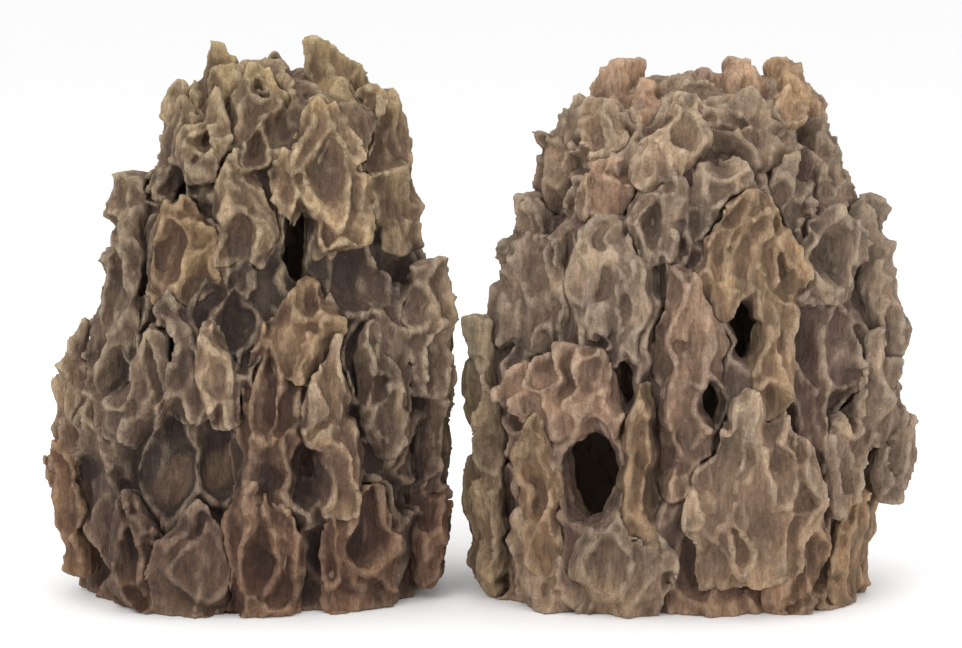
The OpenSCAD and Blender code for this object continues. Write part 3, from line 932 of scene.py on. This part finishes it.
    @staticmethod
    def store(mesh: bpy.types.Mesh, name: str, values: np.ndarray) -> None:
        """Stores one number per vertex."""
        attribute = mesh.attributes.new(name, "FLOAT", "POINT")
        attribute.data.foreach_set("value", values.astype(np.float32))

    @staticmethod
    def sharpness(mesh: bpy.types.Mesh, places: np.ndarray) -> np.ndarray:
        """Returns how much each vertex stands out from its surroundings, 0 to 1."""
        out = ((places - relax(mesh, places, 12)) * normals_of(mesh)).sum(axis=1)
        return np.clip(relax(mesh, out, 2) / Chart.CREST_SCALE, 0.0, 1.0)

    # -- the whole rock

    def dress(self, wash: WashAndShadeGroup) -> None:
        """Paints every casting."""
        stone, shell = self.stone.make(wash, self.height), self.shell.make(wash, self.height)
        for piece in self.pieces:
            is_shell = "_shell_" in piece.name
            piece.data.materials.clear()
            piece.data.materials.append(shell if is_shell else stone)

    def build(self, relief: Relief, wash: WashAndShadeGroup) -> None:
        """Models, measures and paints the whole rock."""
        for node in self.nodes:
            piece = self.cast(node, relief)
            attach(piece, self.body)
            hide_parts(node)
            self.pieces.append(piece)
            LOG.info("%s: %d vertices", piece.name, len(piece.data.vertices))
        self.measure()
        self.dress(wash)


class Chart:
    """How far a rock's crests reach in every direction, seen from inside it."""

    BEARINGS = 300
    LEVELS = 180
    INSIDE_FROM = 30.0 * MM  # deeper than this under the crests is inside the hollow
    POCKET_SCALE = 20.0 * MM  # this deep under the crests is a full pocket, with the full wash and painted shade
    CREST_SCALE = 1.2 * MM  # this far above its surroundings is a full crest

    def __init__(self, rock: Rock) -> None:
        """Charts the rock's castings, and calms the chart."""
        self.inside = np.array([rock.centre.x, 0.0, 0.40 * rock.height])
        self.stretch = np.array([1.0, (rock.high.x - rock.low.x) / (rock.high.y - rock.low.y), 0.75])
        outline = np.zeros((self.BEARINGS, self.LEVELS))
        for piece in rock.pieces:
            bearing, level, distance = self.directions(coordinates(piece.data))
            np.maximum.at(outline, (bearing, level), distance)
        outline = spread(outline, 4, np.maximum)
        for _ in range(3):
            outline = spread(outline, 2, None)
        self.outline = outline

    def directions(self, places: np.ndarray) -> Tuple[np.ndarray, np.ndarray, np.ndarray]:
        """Returns the bearing bins, level bins and distances of places in metres."""
        away = (places - self.inside) * self.stretch
        distance = np.linalg.norm(away, axis=1) + TINY
        bearing = (np.arctan2(away[:, 1], away[:, 0]) / (2.0 * math.pi) + 0.5) * self.BEARINGS
        level = (np.arcsin(np.clip(away[:, 2] / distance, -1.0, 1.0)) / math.pi + 0.5) * self.LEVELS
        return (bearing.astype(int) % self.BEARINGS, np.clip(level.astype(int), 0, self.LEVELS - 1),
                distance)

    def depth(self, places: np.ndarray) -> np.ndarray:
        """Returns how far places lie under the crests around them, all in metres."""
        bearing, level, distance = self.directions(places)
        return self.outline[bearing, level] - distance


LEFT_POCKETS = (
    Pocket(-0.21, 0.830, 11, 16, 14), Pocket(0.24, 0.670, 20, 34, 14, 12),
    Pocket(0.28, 0.590, 26, 34, 12, 10), Pocket(0.50, 0.585, 32, 40, 12),
    Pocket(-0.35, 0.290, 26, 66, 14, 6), Pocket(-0.12, 0.290, 22, 58, 14, -4),
    Pocket(0.30, 0.250, 20, 40, 13, 8), Pocket(-0.06, 0.510, 21, 30, 13),
    Pocket(-0.68, 0.650, 18, 24, 10), Pocket(-0.36, 0.630, 18, 36, 9),
    Pocket(-0.63, 0.420, 18, 34, 11, 12), Pocket(0.79, 0.265, 20, 30, 11), Pocket(0.77, 0.520, 21, 26, 9),
    Pocket(0.03, 0.900, 8, 14, 10), Pocket(0.05, 0.800, 13, 20, 10), Pocket(-0.06, 0.650, 22, 34, 9),
    Pocket(0.42, 0.755, 20, 48, 6, -4), Pocket(-0.36, 0.745, 24, 22, 14), Pocket(0.80, 0.780, 13, 40, 6),
    Pocket(-0.62, 0.560, 17, 44, 8, 14), Pocket(-0.85, 0.400, 15, 44, 8), Pocket(0.10, 0.400, 15, 46, 9),
    Pocket(0.60, 0.160, 22, 46, 8), Pocket(-0.55, 0.110, 17, 34, 7), Pocket(-0.20, 0.100, 26, 36, 6, 14),
    Pocket(0.06, 0.120, 22, 46, 7), Pocket(0.33, 0.130, 17, 52, 9), Pocket(0.55, 0.440, 13, 44, 10, -6),
    Pocket(0.92, 0.420, 13, 48, 8), Pocket(-0.90, 0.190, 20, 46, 8))

RIGHT_POCKETS = (
    Pocket(-0.43, 0.262, 38, 60, 16), Pocket(0.21, 0.520, 20, 44, 10), Pocket(0.03, 0.397, 15, 32, 10),
    Pocket(-0.30, 0.430, 13, 38, 10), Pocket(0.20, 0.125, 9, 24, 10, -10), Pocket(0.68, 0.360, 9, 24, 12),
    Pocket(-0.51, 0.806, 12, 15, 12), Pocket(-0.19, 0.690, 10, 24, 11), Pocket(-0.16, 0.600, 15, 30, 12),
    Pocket(-0.17, 0.480, 14, 72, 14), Pocket(-0.15, 0.290, 13, 76, 14), Pocket(0.12, 0.825, 30, 28, 13),
    Pocket(0.44, 0.790, 12, 24, 10), Pocket(0.575, 0.650, 24, 36, 14), Pocket(0.42, 0.915, 17, 22, 8),
    Pocket(-0.675, 0.470, 15, 32, 11), Pocket(-0.45, 0.505, 16, 14, 9), Pocket(-0.61, 0.180, 9, 24, 9),
    Pocket(-0.83, 0.080, 13, 26, 9), Pocket(0.33, 0.377, 28, 34, 12), Pocket(0.38, 0.280, 12, 42, 9),
    Pocket(0.535, 0.090, 14, 38, 10), Pocket(-0.315, 0.570, 7, 26, 8), Pocket(0.62, 0.480, 13, 46, 9),
    Pocket(-0.86, 0.330, 15, 46, 8), Pocket(0.80, 0.240, 14, 44, 9), Pocket(-0.38, 0.110, 20, 42, 8),
    Pocket(0.02, 0.090, 24, 40, 7), Pocket(0.86, 0.470, 14, 50, 8), Pocket(-0.72, 0.640, 13, 42, 8))

LEFT_SCALES = Scales(cell=(25.0, 58.0), crown_cell=(23.0, 42.0), crown_from=0.70, depth=12.0, taper=0.42,
                     seed=11)
RIGHT_SCALES = Scales(cell=(20.0, 62.0), crown_cell=(14.0, 23.0), crown_from=0.58, depth=10.5, taper=0.30,
                      seed=23)

LEFT_TINTS = {
    "left_crown_blade": Tint.PALE, "left_square_spire": Tint.OLIVE, "left_pointed_spire": Tint.OLIVE,
    "left_crest_stub": Tint.OLIVE, "left_shoulder_column": Tint.PALE, "left_pocket_frame": Tint.OCHRE,
    "left_great_slab": Tint.PLAIN, "left_broken_stone": Tint.OCHRE, "left_centre_pillar": Tint.RUST,
    "left_pale_wedge": Tint.PALE, "left_fingers": Tint.PALE, "left_foot_block": Tint.RUST,
    "left_foot_right": Tint.RUST, "left_foot_side": Tint.OCHRE, "left_foot_knob": Tint.UMBER,
    "left_flank_block": Tint.PLAIN, "left_rim_slab": Tint.PALE, "left_small_blade": Tint.PALE}

RIGHT_TINTS = {
    "right_brow_slab": Tint.OCHRE, "right_left_peak": Tint.PINK, "right_centre_peak": Tint.PINK,
    "right_round_peak": Tint.OCHRE, "right_pale_dome": Tint.PALE, "right_pink_stone": Tint.PINK,
    "right_slant_stones": Tint.PALE, "right_skull_slab": Tint.PINK, "right_rough_plate": Tint.PALE,
    "right_mouth_lintel": Tint.PINK, "right_left_jamb": Tint.OCHRE, "right_right_jamb": Tint.OCHRE,
    "right_foot_block": Tint.GREY, "right_foot_corner": Tint.OCHRE, "right_side_stones": Tint.OLIVE,
    "right_left_brow": Tint.UMBER, "right_flank_crest": Tint.GREY, "right_foot_rib": Tint.RUST}

LEFT_TAPERS = {"left_pointed_spire": 0.86, "left_square_spire": 0.05}

RIGHT_TAPERS = {"right_left_peak": 0.62, "right_centre_peak": 0.45, "right_round_peak": 0.66}


# ---------------------------------------------------------------- the studio


@dataclass(frozen=True)
class SoftBox:
    """A square soft light: where it hangs and how wide it is, in metres, and its power in watts."""

    name: str
    place: Place
    size: float
    power: float


@dataclass
class Studio:
    """Pale floor, soft lights and the camera. Lengths in metres, angles in degrees, lens in mm."""

    distance: float = 1.45
    elevation: float = 8.5
    lens: float = 95.3
    sensor: float = 36.0
    aim: Place = (0.0, 0.0, 0.1515)
    lit_point: Place = (0.0, 0.0, 0.15)
    floor_size: float = 40.0
    floor_white: float = 0.97
    boxes: Tuple[SoftBox, ...] = (
        SoftBox("soft_key", (-1.0, -1.7, 1.5), 1.2, 20.0), SoftBox("soft_fill", (1.5, -1.5, 0.9), 1.4, 7.0),
        SoftBox("soft_top", (0.1, 0.2, 2.2), 1.6, 12.0))

    def place_camera(self) -> None:
        """Puts the camera in front of the pair, a little above it."""
        rise = math.radians(self.elevation)
        target = Vector(self.aim)
        place = target + Vector((0.0, -math.cos(rise), math.sin(rise))) * self.distance
        deselect_all()
        bpy.ops.object.camera_add(location=place)
        camera = bpy.context.object
        camera.name = "ornament_camera"
        camera.rotation_euler = (target - place).to_track_quat("-Z", "Y").to_euler()
        camera.data.lens = self.lens
        camera.data.sensor_width = self.sensor
        camera.data.clip_end = 50.0
        bpy.context.scene.camera = camera

    def lay_floor(self) -> None:
        """Lays the pale floor."""
        deselect_all()
        bpy.ops.mesh.primitive_plane_add(size=self.floor_size, location=(0.0, 0.0, 0.0))
        floor = bpy.context.object
        floor.name = "studio_floor"
        material = bpy.data.materials.new("studio_floor")
        material.use_nodes = True
        shader = material.node_tree.nodes["Principled BSDF"]
        shader.inputs["Base Color"].default_value = (*[self.floor_white] * 3, 1.0)
        shader.inputs["Roughness"].default_value = 0.9
        floor.data.materials.append(material)

    def hang(self, box: SoftBox) -> None:
        """Hangs a soft box that faces the ornament."""
        deselect_all()
        bpy.ops.object.light_add(type="AREA", location=box.place)
        light = bpy.context.object
        light.name = box.name
        light.data.shape = "SQUARE"
        light.data.size = box.size
        light.data.energy = box.power
        aim = Vector(self.lit_point) - Vector(box.place)
        light.rotation_euler = aim.to_track_quat("-Z", "Y").to_euler()

    def build(self) -> None:
        """Sets up the floor, the lights and the white light all round."""
        bpy.context.scene.view_settings.view_transform = "Standard"
        self.lay_floor()
        for box in self.boxes:
            self.hang(box)
        world = bpy.data.worlds.new("studio_light")
        world.use_nodes = True
        sky = world.node_tree.nodes["Background"]
        sky.inputs["Color"].default_value = (1.0, 1.0, 1.0, 1.0)
        sky.inputs["Strength"].default_value = 1.0
        bpy.context.scene.world = world


def plane_between() -> float:
    """Returns the x in metres of the plane that lies midway between the two rocks."""
    bodies = frame["record"]["behaviour"]["bodies"]
    left_edge = max(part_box(node)[1][0] for node in bodies["left_rock"])
    right_edge = min(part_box(node)[0][0] for node in bodies["right_rock"])
    return (left_edge + right_edge) / 2.0


def main() -> None:
    """Builds the studio and both rocks."""
    logging.basicConfig(level=logging.INFO, format="%(name)s: %(message)s")
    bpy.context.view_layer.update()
    studio = Studio()
    studio.place_camera()
    studio.build()
    relief = Relief()
    wash = WashAndShadeGroup()
    plane = plane_between()
    left = Rock("left_rock", plane, LEFT_POCKETS, LEFT_SCALES, LEFT_TINTS, LEFT_TAPERS, LEFT_STONE,
                LEFT_SHELL)
    right = Rock("right_rock", plane, RIGHT_POCKETS, RIGHT_SCALES, RIGHT_TINTS, RIGHT_TAPERS, RIGHT_STONE,
                 RIGHT_SHELL)
    for rock in (left, right):
        rock.build(relief, wash)
    relief.clear()


if __name__ == "__main__":
    main()
